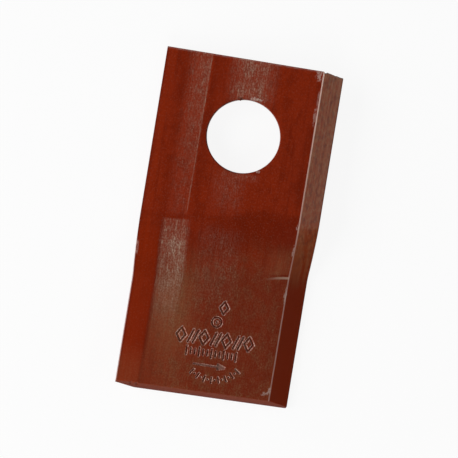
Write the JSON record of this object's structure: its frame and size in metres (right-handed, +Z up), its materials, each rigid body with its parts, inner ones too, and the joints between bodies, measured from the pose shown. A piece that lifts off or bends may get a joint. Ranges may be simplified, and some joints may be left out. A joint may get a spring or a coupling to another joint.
{
  "type": "rotary mower blade",
  "caption": "Short flat mower blade with a fixing bore near one end, a twisted cutting part and a bevel along each long edge, on opposite sides.",
  "frame": {"origin": "middle of the blade's footprint, on the surface that it lies on", "axes": "+Y along the blade, from its cutting end to its mounting end; +X towards the leading, upper-bevelled edge; +Z up, with the blade lying on its underside"},
  "size_m": [0.0502, 0.0958, 0.0086],
  "materials": {
    "red_lacquer": "semi-gloss red-brown dip lacquer over rolled steel, thin and rubbed pale along the bevel"
  },
  "bodies": {
    "root": {"mower_blade": "red_lacquer"}
  },
  "joints": []
}
